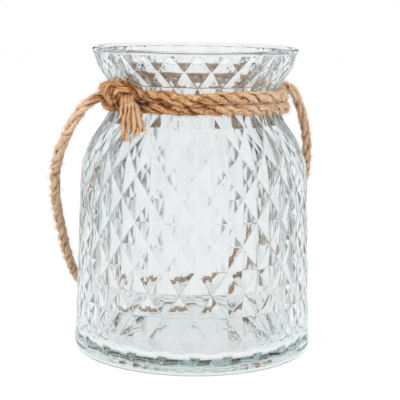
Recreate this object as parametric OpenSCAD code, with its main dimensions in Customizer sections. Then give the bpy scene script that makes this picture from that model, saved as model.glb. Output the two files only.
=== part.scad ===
// Mason jar lantern: a faceted pressed-glass jar with a jute rope tied round its neck and a swinging rope handle.
// Millimetres. +Z is up, the origin is the centre of the foot where it meets the table, -Y is the front.

/* [Jar] */
// Height of the jar, foot to rim
jar_h = 176; // [170:1:195]
// Diameter over the facet ridges at the foot
base_d = 140; // [136:1:146]
// Diameter where the shoulder starts to turn in
shoulder_d = 133.4; // [130:0.2:136]
// Height where the shoulder starts
shoulder_z = 95; // [85:1:100]
// Diameter of the waist that the rope sits in
neck_d = 92; // [89:0.5:96]
// Height of the flare, from the waist to the rim
flare_h = 28; // [26:1:32]
// Diameter of the rim
rim_d = 119; // [112:1:124]
// Thickness of the glass wall
wall = 3.6; // [2.5:0.1:4.5]
// Thickness of the glass floor
floor_t = 7.2; // [6:0.2:10]
// Depth of the hollow under the foot
punt_depth = 1.2; // [0.6:0.1:2]
// Width of the ring that the jar stands on
foot_ring = 9; // [6:0.5:14]

/* [Facets] */
// Facets round the jar
facet_columns = 24; // [18:1:30]
// How far the facets are turned round the jar, in degrees
facet_turn = 1.5; // [0:0.5:7.5]
// How far the middle of each level edge between two facets is pressed in
facet_dip = 1.1; // [0.4:0.1:1.2]
// Height of the plain band of the foot, where the facets start
foot_h = 6; // [5:0.2:8]
// Height of one row of facets on the body
body_row_h = 13; // [12.6:0.1:13.2]
// Rows of facets on the body
body_rows = 7; // [6:1:7]
// Rows of facets on the shoulder
shoulder_rows = 4; // [3:1:5]
// Rows of facets on the flare
flare_rows = 3; // [2:1:4]
// Height of the plain band under the rim
rim_band_h = 2.6; // [2:0.2:4]

/* [Rope] */
// Diameter of the jute rope
rope_d = 6; // [5:0.1:6.4]
// Clearance between the rope and what it lies against
rope_gap = 0.3; // [0.2:0.05:0.5]
// How far the two turns sag on the jar's right
turn_sag = 3; // [0:0.5:3.5]
// Diameter of the loosened yarns at the rope's cut ends
yarn_d = 2.6; // [2:0.1:3]

/* [Handle] */
// Direction of the knot from the jar's axis, in degrees from +X, with the side hitch opposite
knot_az = 220; // [217:1:223]

/* [Hidden] */
smooth = 96;
rope_r = rope_d / 2;
yarn_r = yarn_d / 2;
base_r = base_d / 2;
shoulder_r = shoulder_d / 2;
neck_r = neck_d / 2;
neck_z = jar_h - flare_h;
rim_r = rim_d / 2;
glass = [0.86, 0.93, 0.93, 0.45];
jute = [0.72, 0.52, 0.33];

// ---- The jar's outer profile and its rows of facets ----
shoulder_skew = 1.5;   // keeps the shoulder full before it drops to the waist
flare_skew = 1.15;     // keeps the flare steep near the waist and upright at the rim
flare_row_bias = 0.92; // the rows of the flare close up towards the rim
waist_row_drop = 2;    // the last row of the shoulder lies just under the waist
facet_top_z = jar_h - rim_band_h;
body_top_z = foot_h + body_rows * body_row_h;
waist_row_z = neck_z - waist_row_drop;
bury = 3;              // how far the facet block runs into the foot and the rim band
fall = 1.2;            // how far its buried rows draw in

function body_at(z) = base_r + (shoulder_r - base_r) * z / shoulder_z;
function shoulder_at(z) =
    let (t = pow((z - shoulder_z) / (neck_z - shoulder_z), shoulder_skew))
    neck_r + (shoulder_r - neck_r) * (1 + cos(180 * t)) / 2;
function flare_at(z) =
    neck_r + (rim_r - neck_r) * sin(90 * pow((z - neck_z) / (jar_h - neck_z), flare_skew));
function outer_r(z) = z <= shoulder_z ? body_at(z) : z <= neck_z ? shoulder_at(z) : flare_at(z);

row_heights = concat(
    [for (k = [0 : body_rows]) foot_h + k * body_row_h],
    [for (k = [1 : shoulder_rows]) body_top_z + (waist_row_z - body_top_z) * k / shoulder_rows],
    [for (k = [1 : flare_rows])
        waist_row_z + (facet_top_z - waist_row_z) * pow(k / flare_rows, flare_row_bias)]);
rows = concat(
    [[foot_h - bury, outer_r(foot_h) - fall]],
    [for (z = row_heights) [z, outer_r(z)]],
    [[facet_top_z + rim_band_h / 2, outer_r(facet_top_z) - fall]]);

// ---- Where the rope lies on the waist ----
turn_spread = rope_d + 0.7;   // from the lower turn's centre to the upper one's
turn_z_low = neck_z - turn_spread / 2;
turn_z_high = neck_z + turn_spread / 2;
sag_az = 10;                  // where the turns hang lowest
sag_width = 52;
pinch_az = 269;               // where the two turns press together
pinch_width = 11;
pinch_drop = 1.8;             // how far the upper turn comes down there
pinch_out = 3.1;              // and how far it is pushed out over the lower one

// The least distance from the jar's axis at which the rope clears the ridges of the facets at a height.
seat = rope_r + rope_gap;
function seat_r(z) = max([for (k = [-1 : 0.125 : 1]) lookup(z + k * seat, rows) + seat * sqrt(1 - k * k)]);
function bell(az, middle, width) =
    let (turn = az - middle, near = turn - 360 * round(turn / 360))
    exp(-pow(near / width, 2));
function turn_z(az, z, drop) =
    z - turn_sag * bell(az, sag_az, sag_width) - drop * bell(az, pinch_az, pinch_width);
function turn_point(az, z, drop, out) =
    let (h = turn_z(az, z, drop), far = seat_r(h) + out * bell(az, pinch_az, pinch_width))
    [far * cos(az), far * sin(az), h];
function flat_r(p) = norm([p[0], p[1]]);

// ---- Where the handle's two ends are held ----
collar_r = 2.4;                              // rope squeezed tight round the handle's end
collar_ring = rope_r + rope_gap + collar_r;
bundle_r = flat_r(turn_point(knot_az, turn_z_high, 0, 0)) + rope_r;
handle_z = neck_z + 2;
handle_end = bundle_r + rope_gap;
out_left = [cos(knot_az), sin(knot_az), 0];
handle_left = handle_end * out_left + [0, 0, handle_z];
handle_right = -handle_end * out_left + [0, 0, handle_z];
straight = collar_r * 2 + 1;                 // how far the rope runs straight out of a collar

// The slack handle's route, from the knot down behind the jar and up to the side hitch.
handle_route = concat(
    [handle_left, handle_left + straight * out_left],
    [[-54.5, -43, 149], [-60, -43, 145.5], [-64.5, -41.5, 139.5], [-69, -38.5, 132], [-73.5, -33.5, 123],
     [-77, -26, 114], [-79.5, -17, 105.5], [-81, -7, 96], [-81.7, 3.5, 85], [-81.5, 14, 74], [-80.8, 24, 63],
     [-80, 33.5, 53], [-79, 42.5, 43], [-77, 51.5, 32.5], [-73, 60, 22.5], [-66, 67.5, 13.5], [-56, 73.5, 7.5],
     [-44, 77.5, 4.5], [-31, 80, 3.3], [-17, 81, 3.2], [-3, 81, 3.6], [11, 80, 6.5], [24, 77.5, 12.5],
     [35.5, 74, 21.5], [45.5, 70, 33], [53.5, 66, 46.5], [60, 61.5, 60.5], [65, 57, 74.5], [68.5, 53, 88.5],
     [70.5, 49.5, 102], [70, 46.5, 115], [68.3, 45, 126.5], [65.3, 44.3, 137], [61.3, 44, 146],
     [56, 43.3, 150.2]],
    [handle_right - straight * out_left, handle_right]);

// ---- Sweeping a round rope along a route ----
function unit(v) = v / norm(v);
function wrap(i, n) = (i + n) % n;
function tangents(path, closed) =
    let (n = len(path))
    [for (i = [0 : n - 1])
        closed ? unit(path[wrap(i + 1, n)] - path[wrap(i - 1, n)])
               : unit(path[min(i + 1, n - 1)] - path[max(i - 1, 0)])];
function square_to(v, t) = unit(v - (v * t) * t);
function carried(t, v) =
    [for (i = 0, s = square_to(v, t[0]); i < len(t); i = i + 1,
          s = square_to(s, t[min(i, len(t) - 1)])) s];
function ring(centre, t, s, r, sides) =
    let (b = cross(t, s))
    [for (k = [0 : sides - 1]) centre + r * (cos(360 * k / sides) * s + sin(360 * k / sides) * b)];

module tube(path, r, sides = 10, closed = false, up = [0, 0, 1]) {
    n = len(path);
    t = tangents(path, closed);
    s = closed ? [for (i = [0 : n - 1]) square_to(up, t[i])] : carried(t, up);
    points = [for (i = [0 : n - 1]) each ring(path[i], t[i], s[i], r, sides)];
    spans = closed ? n : n - 1;
    walls = [for (i = [0 : spans - 1], k = [0 : sides - 1])
        let (a = i * sides + k, b = i * sides + (k + 1) % sides,
             c = wrap(i + 1, n) * sides + k, d = wrap(i + 1, n) * sides + (k + 1) % sides)
        each [[a, c, b], [b, c, d]]];
    caps = closed ? [] : [[for (k = [0 : sides - 1]) k],
                          [for (k = [0 : sides - 1]) n * sides - 1 - k]];
    color(jute) polyhedron(points, concat(walls, caps));
}

// ---- The glass jar ----
// One block of triangular facets: every other row is turned by half a facet. The middle of each level edge is
// pressed in, so that the facets above and below it form a shallow diamond-shaped pit.
module facet_block() {
    n = 2 * facet_columns;
    last = len(rows) - 1;
    flat = cos(180 / facet_columns);
    points = [for (k = [0 : last], j = [0 : n - 1])
        let (a = 360 * j / n - 90 + facet_turn,
             r = (k + j) % 2 == 1 ? rows[k][1] : rows[k][1] * flat - facet_dip)
        [r * cos(a), r * sin(a), rows[k][0]]];
    sides = [for (k = [0 : last - 1], j = [0 : n - 1])
        let (a = k * n + j, b = k * n + (j + 1) % n,
             c = (k + 1) * n + j, d = (k + 1) * n + (j + 1) % n)
        each (k + j) % 2 == 1 ? [[a, d, b], [a, c, d]] : [[a, c, b], [c, d, b]]];
    polyhedron(points, concat(
        [[for (j = [0 : n - 1]) j]],
        sides,
        [[for (j = [0 : n - 1]) last * n + n - 1 - j]]));
}

edge_round = 1.4;
arc_steps = 5;
function arc(centre, r, from, to) =
    [for (i = [0 : arc_steps]) let (a = from + (to - from) * i / arc_steps) centre + r * [cos(a), sin(a)]];

step_out = 0.25;   // the plain bands stand this far proud of the facets

module foot() {
    rotate_extrude($fn = smooth)
        polygon(concat([[0, 0]], arc([base_r - edge_round, edge_round], edge_round, -90, 0),
                       [[outer_r(foot_h) + step_out, foot_h], [0, foot_h]]));
}

module rim_band() {
    lip = wall / 3;
    rotate_extrude($fn = smooth)
        polygon(concat([[0, facet_top_z], [outer_r(facet_top_z) + step_out, facet_top_z]],
                       arc([rim_r - lip, jar_h - lip], lip, 0, 90), [[0, jar_h]]));
}

cavity_steps = 40;
floor_round = 9;
mouth_over = 1;
function cavity_r(z) = outer_r(z) - wall;

module cavity() {
    low = floor_t + floor_round;
    corner = cavity_r(low) - floor_round;
    lip = wall / 3;
    top = jar_h - lip;
    rotate_extrude($fn = smooth)
        polygon(concat([[0, floor_t]], arc([corner, low], floor_round, -90, 0),
                       [for (i = [1 : cavity_steps])
                           let (z = low + (top - low) * i / cavity_steps) [cavity_r(z), z]],
                       [[cavity_r(top) + lip, jar_h], [cavity_r(top) + lip, jar_h + mouth_over],
                        [0, jar_h + mouth_over]]));
}

module punt() {
    r = base_r - edge_round - foot_ring;
    translate([0, 0, -1]) cylinder(h = 1 + punt_depth, r1 = r + 1, r2 = r - punt_depth, $fn = smooth);
}

module glass_jar() {
    color(glass)
        difference() {
            union() {
                foot();
                facet_block();
                rim_band();
            }
            cavity();
            punt();
        }
}

// ---- The two turns of rope round the waist ----
turn_rings = 48;
module neck_turn(z, drop, out) {
    tube([for (i = [0 : turn_rings - 1]) turn_point(360 * i / turn_rings, z, drop, out)], rope_r, closed = true);
}

module neck_turn_upper() { neck_turn(turn_z_high, pinch_drop, pinch_out); }
module neck_turn_lower() { neck_turn(turn_z_low, 0, 0); }

// ---- The knot that ties the rope's two ends round the handle ----
module rope_ring(ring_r, r) {
    color(jute) rotate_extrude($fn = 48) translate([ring_r, 0]) circle(r, $fn = 20);
}

// A ring of rope that lies flat on the bundle, facing out from the jar's axis.
module lying_ring(az, seat, z, ring_r, r) {
    rotate([0, 0, az]) translate([seat + r, 0, z]) rotate([0, 90, 0]) rope_ring(ring_r, r);
}

front_turn = 11.6;  // the knot's front loop lies this much further round to the front
front_ring = 5.6;
module knot() {
    lying_ring(knot_az, handle_end, handle_z, collar_ring, collar_r);
    lying_ring(knot_az + front_turn, handle_end, handle_z, front_ring, rope_r);
}

// ---- The rope's two cut ends, each loosened into two yarns ----
// Both hang from the knot's front loop, and their points are counted from its middle.
tail_from = handle_end * [cos(knot_az + front_turn), sin(knot_az + front_turn), 0] + [0, 0, handle_z];
tail_long_route = [[-3.3, -7.5, 1.5], [-2.8, -9.6, -2.5], [-2.5, -11.9, -6.5], [-1.9, -12.9, -11],
                   [-1.3, -13.2, -15.5], [-0.9, -13.3, -20.5]];
tail_short_route = [[1.4, -10.5, 2.5], [2.3, -12.6, -1], [3.3, -14.3, -5], [4.2, -15.7, -9],
                    [5.5, -15.9, -13.5], [6.7, -15.9, -18]];
yarn_shift = yarn_r + 0.1;

module yarn(route, side) {
    tube([for (i = [0 : len(route) - 1])
             tail_from + route[i] + [side * yarn_shift * (1 + 0.2 * i / len(route)), 0, 0]],
         yarn_r, sides = 8, up = [1, 0, 0]);
}

module tail_long() {
    yarn(tail_long_route, -1);
    yarn(tail_long_route, 1);
}

module tail_short() {
    yarn(tail_short_route, -1);
    yarn(tail_short_route, 1);
}

// ---- The hitch that holds the handle's other end to the two turns ----
strap_r = 2.6;
strap_turn = 7;     // each strap lies this far round from the handle's end
strap_steps = 6;
strap_top = 76;     // degrees of its bend over the upper turn
strap_foot = 84;    // and under the lower one

module strap(az) {
    reach = rope_r + rope_gap + strap_r;
    high = turn_point(az, turn_z_high, 0, 0);
    low = turn_point(az, turn_z_low, 0, 0);
    function bend(p, a) = [flat_r(p), p[2]] + reach * [cos(a), sin(a)];
    outline = concat(
        [for (i = [0 : strap_steps]) bend(high, strap_top * (1 - i / strap_steps))],
        [for (i = [0 : strap_steps]) bend(low, -strap_foot * i / strap_steps)]);
    tube([for (p = outline) [p[0] * cos(az), p[0] * sin(az), p[1]]], strap_r, up = [-sin(az), cos(az), 0]);
}

module side_hitch() {
    az = knot_az - 180;
    lying_ring(az, handle_end, handle_z, collar_ring, collar_r);
    strap(az - strap_turn);
    strap(az + strap_turn);
}

// ---- The slack rope handle ----
module rope_handle() {
    tube(handle_route, rope_r);
}

glass_jar();
neck_turn_upper();
neck_turn_lower();
knot();
tail_long();
tail_short();
side_hitch();
rope_handle();
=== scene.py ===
"""Mason jar lantern: a pressed-glass jar with triangular facets, jute rope round its waist and a
slack rope handle."""

import itertools
import math

import bmesh
import bpy
from bpy.props import (FloatProperty, FloatVectorProperty, IntProperty,
                       PointerProperty)
from mathutils import Matrix, Vector


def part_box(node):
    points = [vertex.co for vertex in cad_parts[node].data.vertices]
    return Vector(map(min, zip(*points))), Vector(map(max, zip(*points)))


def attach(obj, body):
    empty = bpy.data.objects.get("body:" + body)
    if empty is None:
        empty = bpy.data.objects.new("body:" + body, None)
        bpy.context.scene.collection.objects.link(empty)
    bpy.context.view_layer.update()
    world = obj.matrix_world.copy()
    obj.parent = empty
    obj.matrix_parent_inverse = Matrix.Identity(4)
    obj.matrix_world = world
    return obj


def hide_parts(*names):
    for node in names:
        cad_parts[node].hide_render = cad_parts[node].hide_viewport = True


bl_info = {
    "name": "Mason jar lantern",
    "version": (1, 0, 0),
    "blender": (4, 5, 0),
    "location": "3D View > Sidebar > Lantern",
    "description": "Builds a faceted glass jar with a knotted rope handle, piece by piece",
    "category": "Add Mesh",
}

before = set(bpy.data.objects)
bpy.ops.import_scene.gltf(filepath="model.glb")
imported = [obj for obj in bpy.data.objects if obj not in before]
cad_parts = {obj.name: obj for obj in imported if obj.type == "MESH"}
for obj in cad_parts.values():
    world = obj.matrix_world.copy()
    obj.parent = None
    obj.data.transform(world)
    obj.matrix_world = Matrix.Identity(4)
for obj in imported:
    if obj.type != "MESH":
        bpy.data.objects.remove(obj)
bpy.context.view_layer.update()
JAR_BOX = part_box("glass_jar")
MM = 0.001


# ---- Sizes and colours that a user may change ----

class JarSizes(bpy.types.PropertyGroup):
    height: FloatProperty(
        name="Height", description="Height of the jar", unit="LENGTH",
        default=JAR_BOX[1].z)
    base_diameter: FloatProperty(
        name="Base diameter", description="Diameter of the foot", unit="LENGTH",
        default=JAR_BOX[1].x - JAR_BOX[0].x)
    shoulder_diameter: FloatProperty(
        name="Shoulder diameter", description="Diameter where the shoulder turns in",
        unit="LENGTH", default=0.1334)
    shoulder_height: FloatProperty(
        name="Shoulder height", description="Height where the shoulder turns in",
        unit="LENGTH", default=0.095)
    neck_diameter: FloatProperty(
        name="Waist diameter", description="Diameter of the waist under the rope",
        unit="LENGTH", default=0.092)
    neck_height: FloatProperty(
        name="Waist height", description="Height of the waist", unit="LENGTH", default=0.148)
    rim_diameter: FloatProperty(
        name="Rim diameter", description="Diameter of the rim", unit="LENGTH", default=0.119)
    wall: FloatProperty(
        name="Wall", description="Thickness of the glass wall", unit="LENGTH", default=0.0036)
    floor: FloatProperty(
        name="Floor", description="Thickness of the glass floor", unit="LENGTH",
        default=0.0072)
    columns: IntProperty(
        name="Facet columns", description="Facets round the jar", default=24, min=12)
    ridge: FloatProperty(
        name="Ridge", description="Width of the rounded ridge between two facets",
        unit="LENGTH", default=0.0005)
    dip: FloatProperty(
        name="Dip", description="How far a facet's level edge is pressed in at its middle",
        unit="LENGTH", default=0.0011)


class RopeSizes(bpy.types.PropertyGroup):
    diameter: FloatProperty(
        name="Diameter", description="Diameter of the jute rope", unit="LENGTH", default=0.006)
    lay: FloatProperty(
        name="Lay", description="Length of one full turn of the strands", unit="LENGTH",
        default=0.030)
    fibre_density: FloatProperty(
        name="Loose fibres", description="Loose fibres on a square metre of rope",
        default=8.0e5, min=0.0)
    fibre_length: FloatProperty(
        name="Fibre length", description="Length of a loose fibre", unit="LENGTH",
        default=0.0026)


class Finishes(bpy.types.PropertyGroup):
    glass_tint: FloatVectorProperty(
        name="Glass tint", description="Colour of the thick glass", subtype="COLOR",
        default=(0.78, 0.85, 0.85))
    jute_light: FloatVectorProperty(
        name="Light jute", description="Colour of the fibres on top", subtype="COLOR",
        default=(0.84, 0.50, 0.25))
    # The dark jute also serves as painted shade, in the crevices between the strands and round
    # the knot.
    jute_dark_and_shade: FloatVectorProperty(
        name="Dark jute", description="Colour of the fibres between the strands",
        subtype="COLOR", default=(0.16, 0.05, 0.009))


# ---- Node trees ----

def both_ways(operation):
    """The method for a sum, and its reflected form for a number that stands first."""
    return (lambda value, other: value.graph.math(operation, value, other),
            lambda value, other: value.graph.math(operation, other, value))


class Value:
    """A node's output socket that takes part in sums."""
    __add__, __radd__ = both_ways("ADD")
    __sub__, __rsub__ = both_ways("SUBTRACT")
    __mul__, __rmul__ = both_ways("MULTIPLY")
    __truediv__, __rtruediv__ = both_ways("DIVIDE")
    __pow__, __rpow__ = both_ways("POWER")
    __mod__, __rmod__ = both_ways("FLOORED_MODULO")

    def __init__(self, graph, socket):
        self.graph = graph
        self.socket = socket


class Graph:
    """A shader or geometry node tree, and the one way in which nodes are added to it."""

    def __init__(self, tree):
        self.tree = tree
        tree.nodes.clear()

    def add(self, kind, sockets=None, out=0, **settings):
        """Adds a node, sets it and its sockets, and returns one of its outputs or the node."""
        node = self.tree.nodes.new(kind)
        for key, value in settings.items():
            setattr(node, key, value)
        for key, value in (sockets or {}).items():
            self.feed(self.pick(node.inputs, key), value)
        return node if out is None else Value(self, self.pick(node.outputs, out))

    @staticmethod
    def pick(sockets, key):
        if isinstance(key, int):
            return sockets[key]
        return next(s for s in sockets if s.name == key and s.enabled)

    def feed(self, socket, value):
        if isinstance(value, Value):
            self.tree.links.new(value.socket, socket)
        elif isinstance(value, (tuple, list)) and len(value) == 3 and socket.type == "RGBA":
            socket.default_value = (*value, 1.0)
        else:
            socket.default_value = value

    def of(self, node, key):
        return Value(self, self.pick(node.outputs, key))

    def math(self, operation, *terms):
        return self.add("ShaderNodeMath", dict(enumerate(terms)), operation=operation)

    def vector(self, operation, *terms, out=0):
        return self.add("ShaderNodeVectorMath", dict(enumerate(terms)), operation=operation,
                        out=out)

    def scaled(self, vector, factor):
        return self.add("ShaderNodeVectorMath", {0: vector, "Scale": factor}, operation="SCALE")

    def noise(self, place, scale, **more):
        return self.add("ShaderNodeTexNoise", {"Vector": place, "Scale": scale, **more})

    def store(self, geometry, name, value, kind="FLOAT", domain="POINT"):
        return self.add("GeometryNodeStoreNamedAttribute",
                        {"Geometry": geometry, "Name": name, "Value": value},
                        data_type=kind, domain=domain)

    def named(self, name, kind="FLOAT"):
        return self.add("GeometryNodeInputNamedAttribute", {"Name": name}, data_type=kind,
                        out="Attribute")

    def random(self, low, high, seed):
        return self.add("FunctionNodeRandomValue", {"Min": low, "Max": high, "Seed": seed},
                        data_type="FLOAT", out="Value")

    def join_xyz(self, x=0.0, y=0.0, z=0.0):
        return self.add("ShaderNodeCombineXYZ", {0: x, 1: y, 2: z})

    def mix(self, factor, a, b):
        return self.add("ShaderNodeMix", {0: factor, 6: a, 7: b}, data_type="RGBA", out=2)

    def smooth(self, value, low, high):
        return self.add("ShaderNodeMapRange",
                        {"Value": value, "From Min": low, "From Max": high},
                        interpolation_type="SMOOTHSTEP")

    def largest(self, *values):
        whole = values[0]
        for value in values[1:]:
            whole = self.math("MAXIMUM", whole, value)
        return whole

    def finish_shape(self, geometry, material):
        """The end of a geometry node tree."""
        whole = self.add("GeometryNodeRealizeInstances", {0: geometry})
        self.feed(self.output.inputs[0], self.add("GeometryNodeSetMaterial",
                                                  {"Geometry": whole, "Material": material}))


def new_material(name):
    material = bpy.data.materials.new(name)
    material.use_nodes = True
    graph = Graph(material.node_tree)
    output = graph.add("ShaderNodeOutputMaterial", out=None)
    return material, graph, output


def new_shape_tree(name, inputs):
    """A geometry node tree with named inputs. Returns the tree, its graph and its inputs."""
    tree = bpy.data.node_groups.new(name, "GeometryNodeTree")
    tree.interface.new_socket("Geometry", in_out="OUTPUT", socket_type="NodeSocketGeometry")
    tree.interface.new_socket("Geometry", in_out="INPUT", socket_type="NodeSocketGeometry")
    for label, kind in inputs.items():
        tree.interface.new_socket(label, in_out="INPUT", socket_type="NodeSocket" + kind)
    graph = Graph(tree)
    group = graph.add("NodeGroupInput", out=None)
    graph.output = graph.add("NodeGroupOutput", out=None)
    return tree, graph, {s.name: Value(graph, s) for s in group.outputs if s.name}


def one_material(mesh, material):
    mesh.materials.clear()
    mesh.materials.append(material)
    mesh.polygons.foreach_set("material_index", [0] * len(mesh.polygons))
    mesh.update()


def plain_mesh(obj, tree, values):
    """Runs a geometry node tree on an object and leaves the result as its plain mesh."""
    modifier = obj.modifiers.new(tree.name, "NODES")
    modifier.node_group = tree
    sockets = {s.name: s.identifier for s in tree.interface.items_tree if s.in_out == "INPUT"}
    for label, value in values.items():
        modifier[sockets[label]] = value
    depsgraph = bpy.context.evaluated_depsgraph_get()
    mesh = bpy.data.meshes.new_from_object(obj.evaluated_get(depsgraph), depsgraph=depsgraph)
    obj.modifiers.clear()
    old = obj.data
    obj.data = mesh
    bpy.data.meshes.remove(old)
    one_material(mesh, values["Material"])
    if not mesh.polygons:
        raise RuntimeError("the tree " + tree.name + " made nothing for " + obj.name)
    return obj


def new_object(name, vertices, edges=(), faces=()):
    mesh = bpy.data.meshes.new(name)
    mesh.from_pydata(vertices, edges, faces)
    mesh.update()
    obj = bpy.data.objects.new(name, mesh)
    bpy.context.scene.collection.objects.link(obj)
    return obj


# ---- Glass ----

GLASS_COLOUR = (0.93, 0.938, 0.94)
GLASS_DENSITY = 32.0   # how soon thick glass takes on its tint


def glass_material(tint):
    """Clear pressed glass: the surface ripples a little, and thick glass shows its tint."""
    material, g, output = new_material("pressed_glass")
    ripple = g.noise(g.add("ShaderNodeTexCoord", out="Object"), 95.0, Detail=2.0, Roughness=0.45)
    bump = g.add("ShaderNodeBump", {"Strength": 0.1, "Distance": 0.6 * MM, "Height": ripple})
    surface = g.add("ShaderNodeBsdfPrincipled",
                    {"Base Color": GLASS_COLOUR, "Roughness": 0.0, "IOR": 1.5,
                     "Transmission Weight": 1.0, "Normal": bump})
    depth = g.add("ShaderNodeVolumeAbsorption", {"Color": tuple(tint), "Density": GLASS_DENSITY})
    g.feed(output.inputs["Surface"], surface)
    g.feed(output.inputs["Volume"], depth)
    return material


class JarShape:
    """The jar's profile and its rows of facets, as the part's source has them."""
    SHOULDER_SKEW, FLARE_SKEW = 1.5, 1.15   # how late the shoulder turns in and the flare out
    FLARE_BIAS = 0.92                       # below 1, the lowest row of the flare is highest
    BODY_ROWS, SHOULDER_ROWS, FLARE_ROWS = 7, 4, 3
    FOOT_H, ROW_H, RIM_BAND = 6 * MM, 13 * MM, 2.6 * MM
    FACET_TURN = math.radians(1.5)
    ROW_DROP = 2 * MM                       # the narrowest facets lie this far below the waist
    EDGE_ROUND, FLOOR_ROUND = 1.4 * MM, 9 * MM
    FOOT_RING, PUNT = 9 * MM, 1.2 * MM
    LIP_PARTS = 3   # the rim is rounded by the wall's thickness divided by this

    # The plain bands at the foot and the rim stand out from the facets by a small step.
    STEP_OUT, STEP_H = 0.25 * MM, 0.5 * MM
    LEDGE_SHARE, LEDGE_H = 0.4, 0.1 * MM

    EDGE_STEPS, LIP_STEPS, FLOOR_STEPS, WALL_STEPS = 6, 5, 10, 60

    def __init__(self, sizes):
        self.s = sizes
        self.facet_top = sizes.height - self.RIM_BAND
        body_top = self.FOOT_H + self.BODY_ROWS * self.ROW_H
        waist = sizes.neck_height - self.ROW_DROP
        rows = [self.FOOT_H + k * self.ROW_H for k in range(self.BODY_ROWS + 1)]
        rows += [body_top + (waist - body_top) * k / self.SHOULDER_ROWS
                 for k in range(1, self.SHOULDER_ROWS + 1)]
        rows += [waist + (self.facet_top - waist) * (k / self.FLARE_ROWS) ** self.FLARE_BIAS
                 for k in range(1, self.FLARE_ROWS + 1)]
        self.rows = [(self.outer(z), z) for z in rows]

    def outer(self, z):
        s = self.s
        base, shoulder, neck, rim = (d / 2 for d in (s.base_diameter, s.shoulder_diameter,
                                                     s.neck_diameter, s.rim_diameter))
        if z <= s.shoulder_height:
            return base + (shoulder - base) * z / s.shoulder_height
        if z <= s.neck_height:
            share = (z - s.shoulder_height) / (s.neck_height - s.shoulder_height)
            t = share ** self.SHOULDER_SKEW
            return neck + (shoulder - neck) * (1 + math.cos(math.pi * t)) / 2
        t = ((z - s.neck_height) / (s.height - s.neck_height)) ** self.FLARE_SKEW
        return neck + (rim - neck) * math.sin(math.pi / 2 * t)

    @staticmethod
    def arc(centre, radius, start, stop, steps):
        angles = [math.radians(start + (stop - start) * i / steps) for i in range(steps + 1)]
        return [(centre[0] + radius * math.cos(a), centre[1] + radius * math.sin(a))
                for a in angles]

    def foot_profile(self):
        """From the middle of the hollow under the foot, out and up to the first facets."""
        edge = self.s.base_diameter / 2 - self.EDGE_ROUND
        hollow = edge - self.FOOT_RING
        band = self.outer(self.FOOT_H)
        return ([(0.0, self.PUNT), (hollow / 2, self.PUNT), (hollow - self.PUNT, self.PUNT),
                 (hollow, 0.0)]
                + self.arc((edge, self.EDGE_ROUND), self.EDGE_ROUND, -90, 0, self.EDGE_STEPS)
                + [(band + self.STEP_OUT, self.FOOT_H - self.STEP_H),
                   (band + self.STEP_OUT * self.LEDGE_SHARE, self.FOOT_H - self.LEDGE_H)])

    def rim_profile(self):
        """From the last facets, over the rim and down the inside to the middle of the floor."""
        s = self.s
        lip = s.wall / self.LIP_PARTS
        low = s.floor + self.FLOOR_ROUND
        corner = self.outer(low) - s.wall - self.FLOOR_ROUND
        top = s.height - lip
        inner = self.outer(top) - s.wall
        band = self.outer(self.facet_top)
        heights = [top - (top - low) * i / self.WALL_STEPS for i in range(1, self.WALL_STEPS)]
        return ([(band + self.STEP_OUT * self.LEDGE_SHARE, self.facet_top + self.LEDGE_H),
                 (band + self.STEP_OUT, self.facet_top + self.STEP_H)]
                + self.arc((s.rim_diameter / 2 - lip, top), lip, 0, 90, self.LIP_STEPS)
                + self.arc((inner + lip, top), lip, 90, 180, self.LIP_STEPS)
                + [(self.outer(z) - s.wall, z) for z in heights]
                + self.arc((corner, low), self.FLOOR_ROUND, 0, -90, self.FLOOR_STEPS)
                + [(corner * 0.6, s.floor), (0.0, s.floor)])


WELD = 1e-5     # points closer than this are one
ON_AXIS = 1e-9


def facet_tree():
    """Bends a grid into rows of triangular facets.

    Every other row is turned by half a facet. The middle of each level edge is pressed in, so
    the facets above and below it tilt up and down and form a shallow diamond-shaped pit."""
    tree, g, given = new_shape_tree("facet_rows", {
        "Columns": "Int", "Rows": "Int", "Level": "Int", "Dip": "Float", "Material": "Material"})
    columns, rows = given["Columns"], given["Rows"]
    grid = g.add("GeometryNodeMeshGrid",
                 {"Size X": 1.0, "Size Y": 1.0, "Vertices X": columns * 2 + 1,
                  "Vertices Y": rows}, out="Mesh")
    index = g.add("GeometryNodeInputIndex")
    row = index % rows
    column = g.math("FLOOR", (index + 0.5) / rows)
    profile = g.add("GeometryNodeSampleIndex",
                    {"Geometry": given["Geometry"], "Value": g.add("GeometryNodeInputPosition"),
                     "Index": row},
                    data_type="FLOAT_VECTOR", domain="POINT")
    parts = g.add("ShaderNodeSeparateXYZ", {0: profile}, out=None)
    chord = g.math("COSINE", math.pi / columns)
    pressed = (column + row) % 2.0
    radius = g.of(parts, "X") * (1 - pressed * (1 - chord)) - pressed * given["Dip"]
    angle = column / columns * math.pi - math.pi / 2 + JarShape.FACET_TURN
    place = g.join_xyz(radius * g.math("COSINE", angle), radius * g.math("SINE", angle),
                       g.of(parts, "Z"))
    bent = g.add("GeometryNodeSetPosition", {"Geometry": grid, "Position": place})
    joined = g.add("GeometryNodeMergeByDistance", {"Geometry": bent, "Distance": WELD})
    facets = g.add("GeometryNodeTriangulate", {"Mesh": joined}, quad_method="LONGEST_DIAGONAL")
    facets = g.store(facets, "facet", index + 1, "INT", "FACE")
    facets = g.add("GeometryNodeSubdivideMesh", {"Mesh": facets, "Level": given["Level"]})
    g.finish_shape(facets, given["Material"])
    return tree


def revolve(bm, profile, segments):
    """Adds the rings of a profile turned round the jar's axis, and the walls between them."""
    rings = []
    for radius, height in profile:
        if radius < ON_AXIS:
            rings.append([bm.verts.new((0.0, 0.0, height))])
            continue
        rings.append([bm.verts.new((radius * math.cos(a), radius * math.sin(a), height))
                      for a in (2 * math.pi * j / segments - math.pi / 2 + JarShape.FACET_TURN
                                for j in range(segments))])
    for low, high in zip(rings, rings[1:]):
        for j in range(segments):
            k = (j + 1) % segments
            corners = [low[j % len(low)], low[k % len(low)],
                       high[k % len(high)], high[j % len(high)]]
            bm.faces.new(list(dict.fromkeys(corners)))
    return rings


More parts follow.
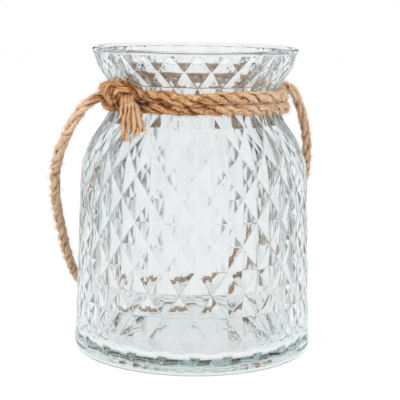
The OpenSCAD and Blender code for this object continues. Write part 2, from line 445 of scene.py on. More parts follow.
def bridge(bm, ring, border):
    """Fills the narrow ledge between a turned ring and the border of the facets."""
    count = len(ring)

    def place(vertex):
        turn = math.atan2(vertex.co.y, vertex.co.x) + math.pi / 2 - JarShape.FACET_TURN
        return turn % (2 * math.pi) / (2 * math.pi) * count

    border = sorted(border, key=place)
    first = round(place(border[0]))
    return [bm.faces.new([ring[(first + j) % count], ring[(first + j + 1) % count],
                          border[(j + 1) % count], border[j]]) for j in range(count)]


FACET_LEVEL = 2                # how often each facet is cut into four
RIDGE_STEPS = 2
SHARP = math.radians(35)       # edges that turn by more than this stay sharp


def build_jar(sizes, material):
    """The glass moulding: rows of facets between a turned foot and a turned rim and inside."""
    shape = JarShape(sizes)
    count = len(shape.rows)
    skin = new_object("glass_jar_shell", [(r, 0.0, z) for r, z in shape.rows],
                      [(i, i + 1) for i in range(count - 1)])
    plain_mesh(skin, facet_tree(), {"Columns": sizes.columns, "Rows": count, "Level": FACET_LEVEL,
                                    "Dip": sizes.dip, "Material": material})
    bm = bmesh.new()
    bm.from_mesh(skin.data)
    facet = bm.faces.layers.int["facet"]
    ridges = [e for e in bm.edges if len(e.link_faces) == 2
              and e.link_faces[0][facet] != e.link_faces[1][facet]]
    border = [v for v in bm.verts if v.is_boundary]
    middle = sizes.height / 2
    segments = sizes.columns * 2 ** (FACET_LEVEL + 1)
    foot = revolve(bm, shape.foot_profile(), segments)
    inside = revolve(bm, shape.rim_profile(), segments)
    ledges = set(bridge(bm, foot[-1], [v for v in border if v.co.z < middle])
                 + bridge(bm, inside[0], [v for v in border if v.co.z > middle]))
    bmesh.ops.recalc_face_normals(bm, faces=bm.faces)
    rounded = set(bmesh.ops.bevel(bm, geom=ridges, offset=sizes.ridge, segments=RIDGE_STEPS,
                                  profile=0.5, affect="EDGES", clamp_overlap=True)["faces"])
    # The shading is smooth throughout. A flat facet keeps its own normal at its corners, so
    # only the ridges between the facets bend the light softly.
    flats = {v: f.normal.copy() for f in bm.faces
             if f not in rounded and f[facet] and f not in ledges for v in f.verts}
    for face in bm.faces:
        face.smooth = True
    for edge in bm.edges:
        edge.smooth = len(edge.link_faces) == 2 and edge.calc_face_angle(0.0) < SHARP
    open_edges = [e for e in bm.edges if len(e.link_faces) != 2]
    if open_edges:
        raise RuntimeError("the glass jar has %d open edges" % len(open_edges))
    normals = [tuple(flats.get(v, (0.0, 0.0, 0.0))) for v in bm.verts]
    bm.to_mesh(skin.data)
    bm.free()
    skin.data.attributes.remove(skin.data.attributes["facet"])
    one_material(skin.data, material)
    skin.data.normals_split_custom_set_from_vertices(normals)
    return skin


# ---- Jute rope ----

JUTE_BROWN = (0.42, 0.19, 0.07)      # between the user's dark and light jute
JUTE_PALE = (0.84, 0.68, 0.52)

# How much each cause lightens or darkens the rope.
CROWN, STREAKS, PATCHES, PALE_AND_PAINTED_LIGHT, PAINTED_KNOT_SHADE, BASE = 0.6, 3.4, 1.2, 0.3, 0.22, 0.14
LINE_WIDTH, LINE_DEPTH = 0.06, 0.6   # the thin dark lines between fibres
BLEACH_PATCHES, PALE_AND_PAINTED_LIGHT_MIX = 0.15, 0.6

# Where the rope is paler, with painted light on its back half, and where painted shade darkens it
# round the knot, in metres from the jar's axis.
PALE_RIGHT, PALE_LEFT = (-0.004, 0.045), (0.051, 0.06)
PALE_FRONT, PAINTED_LIGHT_BACK = (0.056, 0.0585), (0.0, 0.03)
FRONT_PALENESS = 0.55
# Painted shade round the knot: where it starts and stops left of the axis, and where it stops
# short of the cut ends in front.
PAINTED_KNOT_SHADE_STARTS, PAINTED_KNOT_SHADE_STOPS, PAINTED_KNOT_SHADE_FRONT = (0.022, 0.032), (0.046, 0.052), (0.053, 0.056)


def jute_material(light, dark):
    """Twisted jute: pale fibres on the strands, darker between them, partly the fibres' own
    colour and partly painted shade, and streaks along them.
    """
    material, g, output = new_material("jute")
    lay = g.add("ShaderNodeAttribute", out="Vector", attribute_name="lay",
                attribute_type="GEOMETRY")
    crown = g.add("ShaderNodeAttribute", out="Fac", attribute_name="crown",
                  attribute_type="GEOMETRY")
    place = g.add("ShaderNodeTexCoord", out="Object")
    streaks = g.noise(lay, 1.0, Detail=4.0, Roughness=0.7, Distortion=0.6)
    patches = g.noise(place, 150.0, Detail=2.0)
    fine = g.noise(lay, 1.6, Detail=2.0, Distortion=0.4)

    parts = g.add("ShaderNodeSeparateXYZ", {0: place}, out=None)
    right, back = g.of(parts, "X"), g.of(parts, "Y")
    left, front = 0 - right, 0 - back
    # Paler towards the right, the far left and the front. The back half is lightened as painted
    # light, in place of the light that the glass keeps off the rope behind it.
    pale_and_painted_light = g.largest(g.smooth(right, *PALE_RIGHT), g.smooth(left, *PALE_LEFT),
                     g.smooth(front, *PALE_FRONT) * FRONT_PALENESS, g.smooth(back, *PAINTED_LIGHT_BACK))
    # Painted shade: the rope round the knot, but not the cut ends in front of it, is darkened in
    # place of the knot's deep shadows.
    painted_knot_shade = ((g.smooth(left, *PAINTED_KNOT_SHADE_STARTS) - g.smooth(left, *PAINTED_KNOT_SHADE_STOPS))
             * (1 - g.smooth(front, *PAINTED_KNOT_SHADE_FRONT)))

    # Painted shade, in part: the crevices between the strands are darker than the crowns.
    depth = g.smooth(crown, 0.0, 0.8)
    tone = (depth * CROWN + (streaks - 0.5) * STREAKS + (patches - 0.5) * PATCHES
            + pale_and_painted_light * PALE_AND_PAINTED_LIGHT - painted_knot_shade * PAINTED_KNOT_SHADE + BASE)
    off_line = g.smooth(g.math("ABSOLUTE", fine - 0.5), 0.0, LINE_WIDTH)
    tone = tone * (off_line * LINE_DEPTH + (1 - LINE_DEPTH))
    colour = g.mix(g.smooth(tone, 0.0, 0.5), tuple(dark), JUTE_BROWN)
    colour = g.mix(g.smooth(tone, 0.3, 1.0), colour, tuple(light))
    # The pale jute is mixed in on random patches and on the paler parts, including the painted
    # light on the back half.
    pale_mix = g.smooth(patches, 0.42, 0.75) * BLEACH_PATCHES + pale_and_painted_light * PALE_AND_PAINTED_LIGHT_MIX
    paled_jute = g.mix(pale_mix, colour, JUTE_PALE)
    colour = g.mix(g.smooth(tone, 0.1, 0.8), colour, paled_jute)
    bump = g.add("ShaderNodeBump",
                 {"Strength": 0.8, "Distance": 0.5 * MM, "Height": streaks + depth * 0.2})
    surface = g.add("ShaderNodeBsdfPrincipled",
                    {"Base Color": colour, "Roughness": 0.9, "Specular IOR Level": 0.05,
                     "Normal": bump})
    g.feed(output.inputs["Surface"], surface)
    return material


WANDER_SCALE, WANDER = 95.0, 4.0          # the strands' twist is uneven along the rope
GRAIN_ROUND, GRAIN_ALONG, GRAIN_TWIST = 2.6, 270.0, 0.45   # the fibres' grain on a strand
GRAIN_MIDDLE = 0.52
FIBRE_RADIUS = 0.00005
FIBRE_ARCH, FIBRE_SIDE, FIBRE_LIFT = 0.24, 0.14, 0.17      # shares of a fibre's length
FIBRE_SPIN = 0.75
FIBRE_SIZES = (0.35, 1.3)
# Loose fibres count as crowns, so the painted crevice shade leaves them light.
FIBRE_CROWN = 0.95
END_FACE = 0.6    # faces that look along the rope by more than this grow no fibres


def rope_section(g, sides, radius, sink, lobes):
    """The rope's section: as many round lobes as it has strands."""
    section = g.add("GeometryNodeCurvePrimitiveCircle", {"Resolution": sides, "Radius": 1.0},
                    out="Curve")
    spot = g.add("ShaderNodeSeparateXYZ", {0: g.add("GeometryNodeInputPosition")}, out=None)
    around = g.math("ARCTAN2", g.of(spot, "Y"), g.of(spot, "X"))
    share = 2 * math.pi / lobes
    strand = radius - sink

    def edge(angle):
        depth = sink * g.math("SINE", angle)
        return (sink * g.math("COSINE", angle)
                + g.math("SQRT", strand * strand - depth ** 2.0))

    reach = edge((around + share * 0.5) % share - share * 0.5)
    low = edge(share * 0.5)
    crown = (reach - low) / g.math("MAXIMUM", radius - low, 1e-6)
    section = g.store(section, "around", around)
    section = g.store(section, "crown", crown)
    place = g.scaled(g.join_xyz(g.math("COSINE", around), g.math("SINE", around)), reach)
    return g.add("GeometryNodeSetPosition", {"Geometry": section, "Position": place})


def loose_fibres(g, body, density, length, seed):
    """Thin bent hairs that stand off the strands, all over the rope but not on its ends."""
    hair = g.add("GeometryNodeCurveQuadraticBezier",
                 {"Resolution": 2, "Start": g.join_xyz(),
                  "Middle": g.join_xyz(length * 0.5, 0.0, length * FIBRE_ARCH),
                  "End": g.join_xyz(length, length * FIBRE_SIDE, length * FIBRE_LIFT)})
    thin = g.add("GeometryNodeCurvePrimitiveCircle", {"Resolution": 3, "Radius": FIBRE_RADIUS},
                 out="Curve")
    hair = g.add("GeometryNodeCurveToMesh", {"Curve": hair, "Profile Curve": thin})
    flow = g.named("flow", "FLOAT_VECTOR")
    ends = g.vector("DOT_PRODUCT", g.add("GeometryNodeInputNormal"), flow, out="Value")
    sideways = g.math("LESS_THAN", g.math("ABSOLUTE", ends), END_FACE)
    scatter = g.add("GeometryNodeDistributePointsOnFaces",
                    {"Mesh": body, "Density": density * sideways, "Seed": seed},
                    distribute_method="RANDOM", out=None)
    spin = g.random(-FIBRE_SPIN, FIBRE_SPIN, seed)
    along = g.add("FunctionNodeAlignRotationToVector",
                  {"Rotation": g.of(scatter, "Rotation"), "Vector": flow},
                  axis="X", pivot_axis="Z")
    turned = g.add("FunctionNodeAxisAngleToRotation", {"Axis": (0.0, 0.0, 1.0), "Angle": spin})
    facing = g.add("FunctionNodeRotateRotation", {"Rotation": along, "Rotate By": turned},
                   rotation_space="LOCAL")
    fuzz = g.add("GeometryNodeInstanceOnPoints",
                 {"Points": g.of(scatter, "Points"), "Instance": hair, "Rotation": facing,
                  "Scale": g.random(*FIBRE_SIZES, seed)})
    fuzz = g.add("GeometryNodeRealizeInstances", {0: fuzz})
    return g.store(fuzz, "crown", FIBRE_CROWN)


def rope_tree():
    """Lays strands round a path and roughens them with loose fibres.

    The path is a chain of edges. Lobes is the number of strands, and Sink is how far each
    strand's middle lies from the rope's own middle."""
    tree, g, given = new_shape_tree("twisted_rope", {
        "Radius": "Float", "Sink": "Float", "Lobes": "Float", "Lay": "Float", "Step": "Float",
        "Sides": "Int", "Rough": "Float", "Fibre Density": "Float", "Fibre Length": "Float",
        "Seed": "Int", "Material": "Material"})
    path = g.add("GeometryNodeMeshToCurve", {"Mesh": given["Geometry"]})
    path = g.add("GeometryNodeResampleCurve", {"Curve": path, "Length": given["Step"]},
                 mode="LENGTH")
    path = g.add("GeometryNodeSetCurveNormal", {"Curve": path}, mode="MINIMUM_TWIST")
    along = g.add("GeometryNodeSplineParameter", out="Length")
    wander = g.noise(g.add("GeometryNodeInputPosition"), WANDER_SCALE)
    twist = along / given["Lay"] * (2 * math.pi)
    path = g.add("GeometryNodeSetCurveTilt",
                 {"Curve": path, "Tilt": twist + (wander - 0.5) * WANDER})
    path = g.store(path, "run", along)
    path = g.store(path, "twist", twist)
    path = g.store(path, "flow", g.add("GeometryNodeInputTangent"), "FLOAT_VECTOR")
    section = rope_section(g, given["Sides"], given["Radius"], given["Sink"], given["Lobes"])
    body = g.add("GeometryNodeCurveToMesh",
                 {"Curve": path, "Profile Curve": section, "Fill Caps": True})

    turn = g.named("around") + g.named("twist") * GRAIN_TWIST
    grain = g.join_xyz(g.math("COSINE", turn) * GRAIN_ROUND, g.math("SINE", turn) * GRAIN_ROUND,
                       g.named("run") * GRAIN_ALONG)
    body = g.store(body, "lay", grain, "FLOAT_VECTOR")
    bumps = g.noise(grain, 1.0, Detail=3.0, Roughness=0.65)
    uneven = g.scaled(g.add("GeometryNodeInputNormal"),
                      (bumps - GRAIN_MIDDLE) * given["Radius"] * given["Rough"])
    body = g.add("GeometryNodeSetPosition", {"Geometry": body, "Offset": uneven})
    body = g.add("GeometryNodeSetShadeSmooth", {"Geometry": body, "Shade Smooth": True})

    fuzz = loose_fibres(g, body, given["Fibre Density"], given["Fibre Length"], given["Seed"])
    both = g.add("GeometryNodeJoinGeometry", out=None)
    for part in (fuzz, body):
        g.tree.links.new(part.socket, both.inputs[0])
    g.finish_shape(g.of(both, 0), given["Material"])
    return tree


def smooth_path(points, pieces=6):
    """A rounded line through the points, as a list of vectors."""
    points = [Vector(p) for p in points]
    line = []
    for i, (b, c) in enumerate(zip(points, points[1:])):
        a = points[i - 1] if i else b * 2 - c
        d = points[i + 2] if i + 2 < len(points) else c * 2 - b
        for t in (k / pieces for k in range(pieces)):
            line.append(0.5 * (2 * b + (c - a) * t + (2 * a - 5 * b + 4 * c - d) * t ** 2
                               + (3 * b - a - 3 * c + d) * t ** 3))
    line.append(points[-1])
    return line


def path_length(line, closed=False):
    ends = zip(line, line[1:] + line[:1]) if closed else zip(line, line[1:])
    return sum((b - a).length for a, b in ends)


SEEDS = itertools.count(12)   # each path gets the next one


def rope_piece(name, paths, rope, tree, material, radius=None, lobes=3.0, sink=0.45, lay=None,
               sides=40, step=0.7 * MM, rough=0.3, fuzz=1.0):
    """Makes one object from one or more rope paths.

    Each path is given as (points, closed) and, if it needs one, a radius of its own."""
    parts = []
    for points, closed, *own in paths:
        thick = own[0] if own else radius or rope.diameter / 2
        line = [Vector(p) for p in points]
        edges = [(i, i + 1) for i in range(len(line) - 1)]
        turn = lay or rope.lay
        if closed:
            edges.append((len(line) - 1, 0))
            length = path_length(line, True)
            turn = length / max(1, round(length / turn))
        part = new_object(name, line, edges)
        plain_mesh(part, tree, {
            "Radius": thick, "Sink": thick * sink, "Lobes": lobes, "Lay": turn, "Step": step,
            "Sides": sides, "Rough": rough, "Fibre Density": rope.fibre_density * fuzz,
            "Fibre Length": rope.fibre_length, "Seed": next(SEEDS), "Material": material})
        parts.append(part)
    whole = parts[0]
    if len(parts) > 1:
        bm = bmesh.new()
        for part in parts:
            bm.from_mesh(part.data)
        bm.to_mesh(whole.data)
        bm.free()
        for part in parts[1:]:
            bpy.data.objects.remove(part)
    whole.name = name
    return whole


# ---- Where the rope lies, in millimetres and degrees ----
NECK_Z = 148.0         # middle of the band of rope
SEAT = 3.3             # radius of a turn where it lies on the glass
SPREAD = 6.7           # between the middles of the two turns
SAG, SAG_AZ, SAG_WIDTH = 3.0, 10, 52   # both turns hang lower at the right
PINCH_AZ, PINCH_WIDTH = 269, 11        # where the upper turn rides down over the lower
PINCH_DROP, PINCH_OUT = 1.8, 3.1
FULLNESS = 0.45        # what the turns' strands add to the rope's radius
KNOT_AZ = 220.0
HANDLE_END = 55.64     # from the jar's axis to either end of the handle, in the hitch or knot
HANDLE_Z = 150.0
HANDLE_LEAD = 5.8      # the handle's straight start
CLEAR = 0.7            # between the handle's cut ends and the rope round the waist

HANDLE_ROUTE = [
    (-54.5, -43, 149), (-60, -43, 145.5), (-64.5, -41.5, 139.5), (-69, -38.5, 132),
    (-73.5, -33.5, 123), (-77, -26, 114), (-79.5, -17, 105.5), (-81, -7, 96), (-81.7, 3.5, 85),
    (-81.5, 14, 74), (-80.8, 24, 63), (-80, 33.5, 53), (-79, 42.5, 43), (-77, 51.5, 32.5),
    (-73, 60, 22.5), (-66, 67.5, 13.5), (-56, 73.5, 7.5), (-44, 77.5, 4.5), (-31, 80, 3.3),
    (-17, 81, 3.2), (-3, 81, 3.6), (11, 80, 6.5), (24, 77.5, 12.5), (35.5, 74, 21.5),
    (45.5, 70, 33), (53.5, 66, 46.5), (60, 61.5, 60.5), (65, 57, 74.5), (68.5, 53, 88.5),
    (70.5, 49.5, 102), (70, 46.5, 115), (68.3, 45, 126.5), (65.3, 44.3, 137), (61.3, 44, 146),
    (56, 43.3, 150.2)]


def polar(azimuth, radius, height):
    a = math.radians(azimuth)
    return Vector((radius * math.cos(a), radius * math.sin(a), height)) * MM


def in_metres(points):
    return [Vector(p) * MM for p in points]


def bell(azimuth, middle, width):
    near = (azimuth - middle + 180) % 360 - 180
    return math.exp(-(near / width) ** 2)


class Waist:
    """Where a turn of rope lies on the jar's waist."""

    def __init__(self, shape):
        self.rows = [(z / MM, r / MM) for r, z in shape.rows]

    def glass(self, z):
        for (z0, r0), (z1, r1) in zip(self.rows, self.rows[1:]):
            if z0 <= z <= z1:
                return r0 + (r1 - r0) * (z - z0) / (z1 - z0)
        return self.rows[-1][1]

    def seat(self, z, steps=8):
        """How far out the middle of a turn lies, so that its round side just meets the glass."""
        return max(self.glass(z + k / steps * SEAT) + SEAT * math.sqrt(1 - (k / steps) ** 2)
                   for k in range(-steps, steps + 1))

    def point(self, azimuth, z, drop=0.0, out=0.0):
        pinch = bell(azimuth, PINCH_AZ, PINCH_WIDTH)
        height = z - SAG * bell(azimuth, SAG_AZ, SAG_WIDTH) - drop * pinch
        return polar(azimuth, self.seat(height) + out * pinch, height)

    def turn(self, z, drop=0.0, out=0.0, count=180):
        return [self.point(360 * i / count, z, drop, out) for i in range(count)]


# ---- Operators ----

KIT = {}


def kit(name, make):
    """Makes a material or a tree once and keeps it for the next piece."""
    if name not in KIT:
        KIT[name] = make()
    return KIT[name]


def jute_kit(scene):
    finish = scene.lantern_finishes
    return (scene.lantern_rope, kit("rope_tree", rope_tree),
            kit("jute", lambda: jute_material(finish.jute_light, finish.jute_dark_and_shade)))


def dress(obj, body, slot, *nodes):
    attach(obj, body)
    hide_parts(*nodes)


WHITE = (1.0, 1.0, 1.0)
CARD = (0.9, 0.9, 0.9)
STRIP_ON_CARD = (0.07, 0.11, 0.115)
STRIP_BEHIND_GLASS = (0.015, 0.035, 0.04)
STRIP_MIRRORED = (0.05, 0.05, 0.05)
STUDIO_LIGHT = (0.72, 0.72, 0.73)
LIGHT_THROUGH_GLASS = (1.7, 1.7, 1.7)

# How far from the jar glass picks up the strips on the card, and how near it the card darkens.
STRIPS_FAR, SHADE_NEAR = (0.12, 0.42), (0.075, 0.15)
STRIP_SHARE, SHADE_SHARE, CEILING_SHARE = 0.8, 0.18, 0.45
STRIP_COUNT, STRIP_EDGE = 8, (0.09, 0.26)
CARD_GLOW, GLOW_SHARE = 1.02, 0.93   # the card looks white and still takes a faint shadow

LAMPS = {"key": ((-0.9, -0.9, 1.3), 13.0), "fill": ((1.1, -0.6, 0.8), 5.0)}   # place and watts
LAMP_SIZE = 1.0
LAMP_AIM = (0, 0, 0.09)
FLOOR_REACH, FLOOR_Z = 4, 0.05 * MM
CAMERA_PLACE = (0.0, -0.7099, 0.2104)
CAMERA_LENS, CAMERA_SENSOR = 109.8, 36.0
CAMERA_PITCH, CAMERA_YAW, CAMERA_ROLL = 9.94, 0.30, 0.73


def camera_facing(pitch, yaw, roll):
    forward = Vector((0, math.cos(pitch), -math.sin(pitch)))
    up = Vector((0, math.sin(pitch), math.cos(pitch)))
    right = Vector((1, 0, 0))
    forward, right = (forward * math.cos(yaw) + right * math.sin(yaw),
                      right * math.cos(yaw) - forward * math.sin(yaw))
    right, up = (right * math.cos(roll) + up * math.sin(roll),
                 up * math.cos(roll) - right * math.sin(roll))
    return Matrix((right, up, -forward)).transposed().to_4x4()


class LANTERN_OT_stage(bpy.types.Operator):
    """Sets up the camera, the white floor, the lamps and the world"""
    bl_idname = "lantern.stage"
    bl_label = "Stage"

    def execute(self, context):
        scene = context.scene
        scene.view_settings.view_transform = "Standard"
        # Thick glass turns black where the light's path through it is cut short.
        scene.cycles.max_bounces = scene.cycles.transmission_bounces = 48
        scene.cycles.glossy_bounces = 32

        lens = bpy.data.cameras.new("camera")
        lens.sensor_width = CAMERA_SENSOR
        lens.lens = CAMERA_LENS
        lens.clip_start = 0.01
        camera = bpy.data.objects.new("camera", lens)
        scene.collection.objects.link(camera)
        angles = (math.radians(a) for a in (CAMERA_PITCH, CAMERA_YAW, CAMERA_ROLL))
        camera.matrix_world = Matrix.Translation(CAMERA_PLACE) @ camera_facing(*angles)
        scene.camera = camera

        corners = ((-1, -1), (1, -1), (1, 1), (-1, 1))
        floor = new_object("floor",
                           [(x * FLOOR_REACH, y * FLOOR_REACH, FLOOR_Z) for x, y in corners],
                           faces=[(0, 1, 2, 3)])
        floor.data.materials.append(self.white_floor())

        for name, (place, power) in LAMPS.items():
            self.lamp(name, place, power)
        self.surroundings(scene)
        return {"FINISHED"}

    @staticmethod
    def strips(g, x, y):
        """The darker strips of a studio, all round the jar, that glass needs for its edges."""
        part = (g.math("ARCTAN2", x, y) / (2 * math.pi / STRIP_COUNT)) % 1.0 - 0.5
        return 1 - g.smooth(g.math("ABSOLUTE", part), *STRIP_EDGE)

    @classmethod
    def white_floor(cls):
        """White card with a faint shadow, darker near the jar as seen through the glass.

        Only the glass picks up the strips, and only far from the jar."""
        material, g, output = new_material("white_floor")
        ray = g.add("ShaderNodeLightPath", out=None)
        through = g.of(ray, "Is Transmission Ray")
        spot = g.add("ShaderNodeSeparateXYZ", {0: g.add("ShaderNodeTexCoord", out="Object")},
                     out=None)
        x, y = g.of(spot, "X"), g.of(spot, "Y")
        reach = (x * x + y * y) ** 0.5
        far, near = g.smooth(reach, *STRIPS_FAR), 1 - g.smooth(reach, *SHADE_NEAR)
        tone = g.mix(cls.strips(g, x, y) * far * through * STRIP_SHARE, WHITE, STRIP_ON_CARD)
        seen = g.largest(g.of(ray, "Is Camera Ray"), g.of(ray, "Is Glossy Ray"), through)
        paper = g.add("ShaderNodeBsdfDiffuse", {"Color": CARD})
        glow = g.add("ShaderNodeEmission", {"Color": tone, "Strength": CARD_GLOW})
        shown = g.add("ShaderNodeMixShader",
                      {0: seen * GLOW_SHARE - near * through * SHADE_SHARE, 1: paper, 2: glow})
        g.feed(output.inputs["Surface"], shown)
        return material

    @staticmethod
    def lamp(name, place, power):
        data = bpy.data.lights.new(name, "AREA")
        data.shape = "DISK"
        data.size = LAMP_SIZE
        data.energy = power
        lamp = bpy.data.objects.new(name, data)
        lamp.location = place
        lamp.visible_glossy = False
        lamp.visible_transmission = False
        way = Vector(LAMP_AIM) - Vector(place)
        lamp.rotation_euler = way.to_track_quat("-Z", "Y").to_euler()
        bpy.context.scene.collection.objects.link(lamp)

    @classmethod
    def surroundings(cls, scene):
        """White all round, with the darker strips and ceiling of a studio."""
        world = bpy.data.worlds.new("studio")
        world.use_nodes = True
        scene.world = world
        g = Graph(world.node_tree)
        output = g.add("ShaderNodeOutputWorld", out=None)
        way = g.add("ShaderNodeTexCoord", out="Generated")
        parts = g.add("ShaderNodeSeparateXYZ", {0: way}, out=None)
        x, y, z = (g.of(parts, k) for k in "XYZ")
        strips = cls.strips(g, x, y)
        ray = g.add("ShaderNodeLightPath", out=None)
        through = g.of(ray, "Is Transmission Ray")
        mirrored = g.of(ray, "Is Glossy Ray") * (1 - through)
        seen = g.largest(g.of(ray, "Is Camera Ray"), through, mirrored)
        ceiling = g.smooth(z, 0.5, 0.75) * CEILING_SHARE
        around = g.mix(g.largest(strips, ceiling) * through, WHITE, STRIP_BEHIND_GLASS)
        around = g.mix(mirrored, around,
                       g.mix(g.smooth(strips, 0.0, 0.5), WHITE, STRIP_MIRRORED))
        # Light that reaches the rope only through the glass has no lamps to help it.
        indirect = g.math("MINIMUM", g.of(ray, "Diffuse Depth"), 1.0)
        around = g.mix(indirect * through, around, LIGHT_THROUGH_GLASS)
        colour = g.mix(seen, STUDIO_LIGHT, around)
        g.feed(output.inputs["Surface"],
               g.add("ShaderNodeBackground", {"Color": colour, "Strength": 1.0}))


class LANTERN_OT_handle(bpy.types.Operator):
    """Adds the slack rope handle"""
    bl_idname = "lantern.handle"
    bl_label = "Rope handle"

    def execute(self, context):
        rope, tree, jute = jute_kit(context.scene)
        end = HANDLE_END + CLEAR
        start, stop = (polar(azimuth, end, HANDLE_Z) for azimuth in (KNOT_AZ, KNOT_AZ - 180))
        out = polar(KNOT_AZ, HANDLE_LEAD, 0)
        line = smooth_path([start, start + out, *in_metres(HANDLE_ROUTE), stop - out, stop])
        handle = rope_piece("rope_handle_strands", [(line, False)], rope, tree, jute)
        dress(handle, "handle", "jute", "rope_handle")
        path_length(line)
        return {"FINISHED"}


class LANTERN_OT_jar(bpy.types.Operator):
    """Adds the faceted glass jar"""
    bl_idname = "lantern.jar"
    bl_label = "Glass jar"

    def execute(self, context):
        finish = context.scene.lantern_finishes
        glass = kit("glass", lambda: glass_material(finish.glass_tint))
        jar = build_jar(context.scene.lantern_jar, glass)
        dress(jar, "jar", "glass", "glass_jar")
        return {"FINISHED"}


class LANTERN_OT_turns(bpy.types.Operator):
    """Adds the two turns of rope round the waist"""
    bl_idname = "lantern.turns"
    bl_label = "Turns of rope"

    def execute(self, context):
        rope, tree, jute = jute_kit(context.scene)
        waist = Waist(JarShape(context.scene.lantern_jar))
        radius = rope.diameter / 2 + FULLNESS * MM
        for node, line in (
                ("neck_turn_upper", waist.turn(NECK_Z + SPREAD / 2, PINCH_DROP, PINCH_OUT)),
                ("neck_turn_lower", waist.turn(NECK_Z - SPREAD / 2))):
            turn = rope_piece(node + "_strands", [(line, True)], rope, tree, jute, radius=radius)
            dress(turn, "jar", "jute", node)
        return {"FINISHED"}


def lying_ring(azimuth, seat, height, ring, tube, count=48):
    """Middle line of a ring of rope that lies flat on the turns, facing out from the axis."""
    middle = polar(azimuth, seat + tube, height)
    side = polar(azimuth + 90, 1, 0) / MM
    return [middle + (side * math.cos(a) + Vector((0, 0, 1)) * math.sin(a)) * ring * MM
            for a in (2 * math.pi * i / count for i in range(count))]


# ---- The knot, in millimetres ----
KNOT_RADIUS = 2.9
COLLAR_RING, COLLAR_SEAT, COLLAR_DROP, COLLAR_RADIUS = 5.3, 2.4, 0.4, 2.2
KNOT_ROUTE = [
    (-25.5, -42.6, 150), (-30.7, -49.6, 152.5), (-35.5, -51.1, 156), (-40.5, -49.6, 157),
    (-44.6, -48.6, 156.6), (-46.6, -48.6, 153.8), (-45.9, -48.6, 149.7), (-43.3, -46.6, 146),
    (-39.8, -42.1, 145.3), (-35.4, -42.1, 148.7), (-33.6, -46.1, 153), (-36.5, -52.6, 155.3),
    (-40.5, -53.1, 154.2), (-42.7, -50.1, 150.9), (-42.9, -44.1, 146.8), (-46.5, -40.6, 144.5),
    (-49, -39.1, 146.5), (-47.5, -35.6, 150)]


class LANTERN_OT_knot(bpy.types.Operator):
    """Adds the knot at the front left"""
    bl_idname = "lantern.knot"
    bl_label = "Knot"

    def execute(self, context):
        rope, tree, jute = jute_kit(context.scene)
        route = smooth_path(in_metres(KNOT_ROUTE))
        collar = lying_ring(KNOT_AZ, HANDLE_END, HANDLE_Z - COLLAR_DROP, COLLAR_RING, COLLAR_SEAT)
        knot = rope_piece("knot_strands", [(route, False), (collar, True, COLLAR_RADIUS * MM)],
                          rope, tree, jute, radius=KNOT_RADIUS * MM)
        dress(knot, "jar", "jute", "knot")
        return {"FINISHED"}


# ---- The cut ends, in millimetres: each is two yarns ----
YARN_RADIUS, YARN_LAY = 1.9, 22
TAIL_ROUTES = {
    "tail_long": [
        [(-39.8, -50.6, 153.2), (-39.1, -54.1, 149.7), (-38.6, -56.6, 144.6),
         (-38.2, -57.6, 139.3), (-37.6, -57.6, 133.4), (-37, -57.1, 127.9)],
        [(-38.2, -50.6, 153.3), (-37.2, -54.6, 149.8), (-36.2, -57.1, 145.7),
         (-35.6, -58.1, 141.6), (-35.1, -58.1, 137.3), (-34.8, -57.6, 134)]],
    "tail_short": [
        [(-37.1, -50.6, 153.3), (-35.5, -55.1, 149.3), (-33.8, -57.8, 144.8),
         (-32.6, -58.6, 140.6), (-31.8, -58.8, 135.8), (-31.1, -58.4, 131)],
        [(-36, -50.6, 153.2), (-34, -54.6, 149.3), (-31.9, -57.6, 145.3),
         (-30.3, -58.6, 141.7), (-28.9, -58.6, 137.4), (-27.8, -58.1, 133.4)]]}


class LANTERN_OT_tails(bpy.types.Operator):
    """Adds the rope's two cut ends, each opened into two yarns"""
    bl_idname = "lantern.tails"
    bl_label = "Cut ends"

    def execute(self, context):
        rope, tree, jute = jute_kit(context.scene)
        for node, routes in TAIL_ROUTES.items():
            paths = [(smooth_path(in_metres(route)), False) for route in routes]
            tail = rope_piece(node + "_yarns", paths, rope, tree, jute, radius=YARN_RADIUS * MM,
                              lobes=2.0, sink=0.3, lay=YARN_LAY * MM, sides=24, step=0.6 * MM,
                              rough=0.4, fuzz=1.3)
            dress(tail, "jar", "jute", node)
        return {"FINISHED"}


# ---- The hitch, in millimetres and degrees ----
HITCH_RADIUS = 2.4
HITCH_RING, HITCH_SEAT = 5.7, 2.4
STRAP_TURN = 7                       # each strap's way round the waist from the handle's end
STRAP_REACH = 5.9                    # from a turn's middle to the strap's
STRAP_TOP, STRAP_FOOT = 76, -84      # how far the strap goes over one turn and under the other


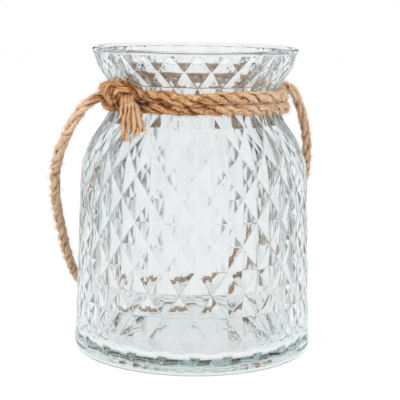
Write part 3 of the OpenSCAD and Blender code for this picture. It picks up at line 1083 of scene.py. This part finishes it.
class LANTERN_OT_hitch(bpy.types.Operator):
    """Adds the hitch that holds the handle's right end"""
    bl_idname = "lantern.hitch"
    bl_label = "Side hitch"

    def execute(self, context):
        rope, tree, jute = jute_kit(context.scene)
        waist = Waist(JarShape(context.scene.lantern_jar))
        azimuth = KNOT_AZ - 180
        paths = [(lying_ring(azimuth, HANDLE_END, HANDLE_Z, HITCH_RING, HITCH_SEAT), True)]
        for turn in (-STRAP_TURN, STRAP_TURN):
            paths.append((self.strap(waist, azimuth + turn), False))
        hitch = rope_piece("side_hitch_strands", paths, rope, tree, jute,
                           radius=HITCH_RADIUS * MM)
        dress(hitch, "jar", "jute", "side_hitch")
        return {"FINISHED"}

    @staticmethod
    def strap(waist, azimuth, steps=6):
        line = []
        for side, start, stop in ((0.5, STRAP_TOP, 0), (-0.5, 0, STRAP_FOOT)):
            middle = waist.point(azimuth, NECK_Z + SPREAD * side) / MM
            flat = math.hypot(middle.x, middle.y)
            for i in range(steps + 1):
                angle = math.radians(start + (stop - start) * i / steps)
                line.append(polar(azimuth, flat + STRAP_REACH * math.cos(angle),
                                  middle.z + STRAP_REACH * math.sin(angle)))
        return smooth_path(line)


class LANTERN_PT_panel(bpy.types.Panel):
    """The lantern's pieces, in the order in which they are made"""
    bl_idname = "LANTERN_PT_panel"
    bl_label = "Mason jar lantern"
    bl_space_type = "VIEW_3D"
    bl_region_type = "UI"
    bl_category = "Lantern"

    def draw(self, context):
        scene = context.scene
        for group in (scene.lantern_jar, scene.lantern_rope, scene.lantern_finishes):
            column = self.layout.column()
            for name in group.bl_rna.properties.keys():
                if name not in ("rna_type", "name"):
                    column.prop(group, name)
        for step in STEPS:
            self.layout.operator(step.bl_idname)


GROUPS = {"lantern_jar": JarSizes, "lantern_rope": RopeSizes, "lantern_finishes": Finishes}
STEPS = (LANTERN_OT_stage, LANTERN_OT_handle, LANTERN_OT_jar, LANTERN_OT_turns, LANTERN_OT_knot,
         LANTERN_OT_tails, LANTERN_OT_hitch)
CLASSES = (*GROUPS.values(), *STEPS, LANTERN_PT_panel)


def register():
    for cls in CLASSES:
        bpy.utils.register_class(cls)
    for name, cls in GROUPS.items():
        setattr(bpy.types.Scene, name, PointerProperty(type=cls))


def unregister():
    for name in GROUPS:
        delattr(bpy.types.Scene, name)
    for cls in reversed(CLASSES):
        bpy.utils.unregister_class(cls)


def main():
    register()
    for step in STEPS:
        family, action = step.bl_idname.split(".")
        if getattr(getattr(bpy.ops, family), action)() != {"FINISHED"}:
            raise RuntimeError(step.bl_label + " didn't finish")


if __name__ == "__main__":
    main()
